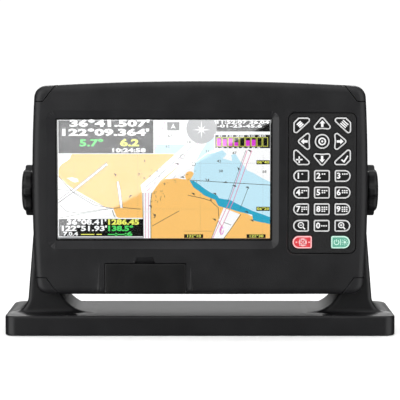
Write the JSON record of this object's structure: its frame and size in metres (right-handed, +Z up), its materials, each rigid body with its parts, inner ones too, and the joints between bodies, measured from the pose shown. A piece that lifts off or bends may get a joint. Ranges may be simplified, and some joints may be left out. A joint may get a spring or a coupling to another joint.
{
  "type": "chartplotter display",
  "caption": "Widescreen chartplotter display head with a keypad and a hinged card door, tilting between lobed clamp knobs in a one-piece yoke bracket.",
  "frame": {"origin": "middle of the underside of the bracket's base plate, which is also the middle of its four screw holes", "axes": "+Z up; +X to the right as seen by someone facing the screen; the screen faces -Y"},
  "size_m": [0.2884, 0.08, 0.1851],
  "materials": {
    "bracket_black": "fine-grained moulded plastic",
    "bezel_black": "fine-grained moulded plastic",
    "housing_black": "fine-grained moulded plastic",
    "rubber_black": "matt",
    "window_glass": "clear, low sheen",
    "lcd_picture": "lit chart picture",
    "zinc": "pressed sheet",
    "keypad_black": "coarse-grained plate",
    "rubber_grey": "matt silicone",
    "board_green": "solder resist",
    "brass": "turned",
    "card_blue": "memory card",
    "part_black": "buzzer case",
    "steel": "satin stainless",
    "cap_black": "fine-grained moulded plastic",
    "connector_black": "glass-filled plastic",
    "door_black": "fine-grained moulded plastic",
    "knob_black": "hard grip plastic",
    "key_black": "satin, light grey outline and legend",
    "key_red": "satin, pale outline and legend",
    "key_green": "satin, pale outline and legend"
  },
  "bodies": {
    "bracket": {"yoke_bracket": "bracket_black"},
    "head": {"front_bezel": "bezel_black", "rear_housing": "housing_black", "case_gasket": "rubber_black", "lcd_window": "window_glass", "lcd_panel": "lcd_picture", "lcd_frame": "zinc", "keypad_plate": "keypad_black", "keypad_mat": "rubber_grey", "keypad_board": "board_green", "main_board": "board_green", "board_standoffs": "brass", "card_socket": "zinc", "chart_card": "card_blue", "alarm_buzzer": "part_black", "clock_battery": "steel", "case_screws": "steel", "cap_top_left": "cap_black", "cap_top_right": "cap_black", "cap_bottom_left": "cap_black", "cap_bottom_right": "cap_black", "pivot_inserts": "brass", "friction_washers": "rubber_black", "door_hinge_pin": "steel", "signal_connectors": "connector_black", "antenna_connector": "brass", "ground_stud": "brass"},
    "door": {"card_door": "door_black", "door_seal": "rubber_grey"},
    "left_clamp_washer": {"left_washer": "steel"},
    "left_clamp_knob": {"left_knob": "knob_black", "left_stud": "steel"},
    "right_clamp_washer": {"right_washer": "steel"},
    "right_clamp_knob": {"right_knob": "knob_black", "right_stud": "steel"},
    "key_up_cap": {"key_up": "key_black"},
    "key_down_cap": {"key_down": "key_black"},
    "key_left_cap": {"key_left": "key_black"},
    "key_right_cap": {"key_right": "key_black"},
    "key_centre_cap": {"key_centre": "key_black"},
    "key_top_left_cap": {"key_top_left": "key_black"},
    "key_top_right_cap": {"key_top_right": "key_black"},
    "key_bottom_left_cap": {"key_bottom_left": "key_black"},
    "key_bottom_right_cap": {"key_bottom_right": "key_black"},
    "key_1_cap": {"key_1": "key_black"},
    "key_2_cap": {"key_2": "key_black"},
    "key_3_cap": {"key_3": "key_black"},
    "key_4_cap": {"key_4": "key_black"},
    "key_5_cap": {"key_5": "key_black"},
    "key_6_cap": {"key_6": "key_black"},
    "key_7_cap": {"key_7": "key_black"},
    "key_8_cap": {"key_8": "key_black"},
    "key_9_cap": {"key_9": "key_black"},
    "key_zoom_out_cap": {"key_zoom_out": "key_black"},
    "key_0_cap": {"key_0": "key_black"},
    "key_zoom_in_cap": {"key_zoom_in": "key_black"},
    "key_red_cap": {"key_red": "key_red"},
    "key_power_cap": {"key_power": "key_green"}
  },
  "joints": [
    {"name": "head_tilt", "type": "hinge", "parent": "bracket", "child": "head", "pos_m": [0, 0, 0.104], "axis": [-1, 0, 0], "range_deg": [-2, 45]},
    {"name": "door_hinge", "type": "hinge", "parent": "head", "child": "door", "pos_m": [-0.0397, -0.0387, 0.0325], "axis": [1, 0, 0], "range_deg": [0, 90]},
    {"name": "left_clamp_feed", "type": "slide", "parent": "head", "child": "left_clamp_washer", "axis": [-1, 0, 0], "range_m": [0, 0.002]},
    {"name": "left_clamp_turn", "type": "hinge", "parent": "left_clamp_washer", "child": "left_clamp_knob", "pos_m": [-0.128, 0, 0.104], "axis": [-1, 0, 0], "range_deg": [0, 720.5]},
    {"name": "right_clamp_feed", "type": "slide", "parent": "head", "child": "right_clamp_washer", "axis": [1, 0, 0], "range_m": [0, 0.002]},
    {"name": "right_clamp_turn", "type": "hinge", "parent": "right_clamp_washer", "child": "right_clamp_knob", "pos_m": [0.128, 0, 0.104], "axis": [1, 0, 0], "range_deg": [0, 720.5]},
    {"name": "key_up_press", "type": "slide", "parent": "head", "child": "key_up_cap", "axis": [0, 1, 0], "range_m": [0, 0.0008], "stiffness_N_per_m": 300},
    {"name": "key_down_press", "type": "slide", "parent": "head", "child": "key_down_cap", "axis": [0, 1, 0], "range_m": [0, 0.0008], "stiffness_N_per_m": 300},
    {"name": "key_left_press", "type": "slide", "parent": "head", "child": "key_left_cap", "axis": [0, 1, 0], "range_m": [0, 0.0008], "stiffness_N_per_m": 300},
    {"name": "key_right_press", "type": "slide", "parent": "head", "child": "key_right_cap", "axis": [0, 1, 0], "range_m": [0, 0.0008], "stiffness_N_per_m": 300},
    {"name": "key_centre_press", "type": "slide", "parent": "head", "child": "key_centre_cap", "axis": [0, 1, 0], "range_m": [0, 0.0008], "stiffness_N_per_m": 300},
    {"name": "key_top_left_press", "type": "slide", "parent": "head", "child": "key_top_left_cap", "axis": [0, 1, 0], "range_m": [0, 0.0008], "stiffness_N_per_m": 300},
    {"name": "key_top_right_press", "type": "slide", "parent": "head", "child": "key_top_right_cap", "axis": [0, 1, 0], "range_m": [0, 0.0008], "stiffness_N_per_m": 300},
    {"name": "key_bottom_left_press", "type": "slide", "parent": "head", "child": "key_bottom_left_cap", "axis": [0, 1, 0], "range_m": [0, 0.0008], "stiffness_N_per_m": 300},
    {"name": "key_bottom_right_press", "type": "slide", "parent": "head", "child": "key_bottom_right_cap", "axis": [0, 1, 0], "range_m": [0, 0.0008], "stiffness_N_per_m": 300},
    {"name": "key_1_press", "type": "slide", "parent": "head", "child": "key_1_cap", "axis": [0, 1, 0], "range_m": [0, 0.0008], "stiffness_N_per_m": 300},
    {"name": "key_2_press", "type": "slide", "parent": "head", "child": "key_2_cap", "axis": [0, 1, 0], "range_m": [0, 0.0008], "stiffness_N_per_m": 300},
    {"name": "key_3_press", "type": "slide", "parent": "head", "child": "key_3_cap", "axis": [0, 1, 0], "range_m": [0, 0.0008], "stiffness_N_per_m": 300},
    {"name": "key_4_press", "type": "slide", "parent": "head", "child": "key_4_cap", "axis": [0, 1, 0], "range_m": [0, 0.0008], "stiffness_N_per_m": 300},
    {"name": "key_5_press", "type": "slide", "parent": "head", "child": "key_5_cap", "axis": [0, 1, 0], "range_m": [0, 0.0008], "stiffness_N_per_m": 300},
    {"name": "key_6_press", "type": "slide", "parent": "head", "child": "key_6_cap", "axis": [0, 1, 0], "range_m": [0, 0.0008], "stiffness_N_per_m": 300},
    {"name": "key_7_press", "type": "slide", "parent": "head", "child": "key_7_cap", "axis": [0, 1, 0], "range_m": [0, 0.0008], "stiffness_N_per_m": 300},
    {"name": "key_8_press", "type": "slide", "parent": "head", "child": "key_8_cap", "axis": [0, 1, 0], "range_m": [0, 0.0008], "stiffness_N_per_m": 300},
    {"name": "key_9_press", "type": "slide", "parent": "head", "child": "key_9_cap", "axis": [0, 1, 0], "range_m": [0, 0.0008], "stiffness_N_per_m": 300},
    {"name": "key_zoom_out_press", "type": "slide", "parent": "head", "child": "key_zoom_out_cap", "axis": [0, 1, 0], "range_m": [0, 0.0008], "stiffness_N_per_m": 300},
    {"name": "key_0_press", "type": "slide", "parent": "head", "child": "key_0_cap", "axis": [0, 1, 0], "range_m": [0, 0.0008], "stiffness_N_per_m": 300},
    {"name": "key_zoom_in_press", "type": "slide", "parent": "head", "child": "key_zoom_in_cap", "axis": [0, 1, 0], "range_m": [0, 0.0008], "stiffness_N_per_m": 300},
    {"name": "key_red_press", "type": "slide", "parent": "head", "child": "key_red_cap", "axis": [0, 1, 0], "range_m": [0, 0.0008], "stiffness_N_per_m": 300},
    {"name": "key_power_press", "type": "slide", "parent": "head", "child": "key_power_cap", "axis": [0, 1, 0], "range_m": [0, 0.0008], "stiffness_N_per_m": 300}
  ],
  "couplings": [
    {"joint": "left_clamp_turn", "follows": "left_clamp_feed", "rad_per_m": 6283.2},
    {"joint": "right_clamp_turn", "follows": "right_clamp_feed", "rad_per_m": 6283.2}
  ]
}
